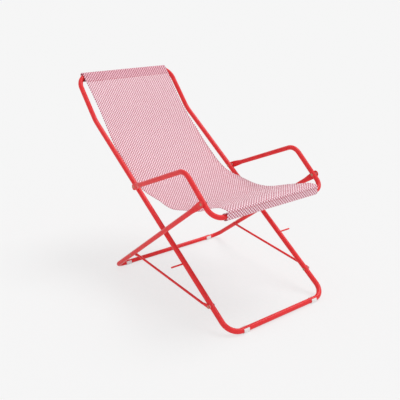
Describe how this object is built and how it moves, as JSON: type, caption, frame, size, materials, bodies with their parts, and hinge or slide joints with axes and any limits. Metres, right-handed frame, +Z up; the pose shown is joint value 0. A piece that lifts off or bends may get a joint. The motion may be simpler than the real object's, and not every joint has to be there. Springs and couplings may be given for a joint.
{
  "type": "folding reclining chair",
  "caption": "Folding reclining sling chair: bent steel tube back, arm and leg frames on a riveted crossed linkage, with a woven mesh sling hung between head bar and seat bar.",
  "frame": {"origin": "on the floor, under the middle of the chair's length and width", "axes": "+Z up, -Y the way the sitter faces, +X the sitter's left"},
  "size_m": [0.654, 1.1664, 0.8537],
  "materials": {
    "red_powder_coat": "glossy red powder coat",
    "sling_mesh": "fine red and white woven polymer mesh",
    "white_plastic": "moulded white plastic",
    "rivet_steel": "plated steel rivet",
    "washer_nylon": "natural nylon"
  },
  "bodies": {
    "back_frame": {"back_frame_tube": "red_powder_coat", "sling": "sling_mesh", "left_stop_pin": "red_powder_coat", "right_stop_pin": "red_powder_coat", "left_front_glide": "white_plastic", "right_front_glide": "white_plastic", "left_arm_rivet": "rivet_steel", "right_arm_rivet": "rivet_steel", "left_arm_washer": "washer_nylon", "right_arm_washer": "washer_nylon", "left_link_rivet": "rivet_steel", "right_link_rivet": "rivet_steel", "left_link_washer": "washer_nylon", "right_link_washer": "washer_nylon"},
    "arm_frame": {"arm_frame_tube": "red_powder_coat", "left_leg_rivet": "rivet_steel", "right_leg_rivet": "rivet_steel", "left_leg_washer": "washer_nylon", "right_leg_washer": "washer_nylon"},
    "leg_frame": {"leg_frame_tube": "red_powder_coat", "left_rear_glide": "white_plastic", "right_rear_glide": "white_plastic", "left_leg_link_rivet": "rivet_steel", "right_leg_link_rivet": "rivet_steel", "left_leg_link_washer": "washer_nylon", "right_leg_link_washer": "washer_nylon"},
    "links": {"left_link": "red_powder_coat", "right_link": "red_powder_coat"}
  },
  "joints": [
    {"name": "fold", "type": "hinge", "parent": "back_frame", "child": "arm_frame", "pos_m": [0, 0.06522, 0.43175], "axis": [-1, 0, 0], "range_deg": [0, 113.18], "deforming": ["sling"]},
    {"name": "leg_fold", "type": "hinge", "parent": "arm_frame", "child": "leg_frame", "pos_m": [0, -0.44054, 0.50819], "axis": [-1, 0, 0], "range_deg": [-26.5, 0]},
    {"name": "link_fold", "type": "hinge", "parent": "back_frame", "child": "links", "pos_m": [0, -0.4557, 0.0882], "axis": [-1, 0, 0], "range_deg": [-26.5, 0]}
  ],
  "couplings": [
    {"joint": "leg_fold", "follows": "fold", "ratio": -0.23366},
    {"joint": "link_fold", "follows": "fold", "ratio": -0.23366}
  ]
}
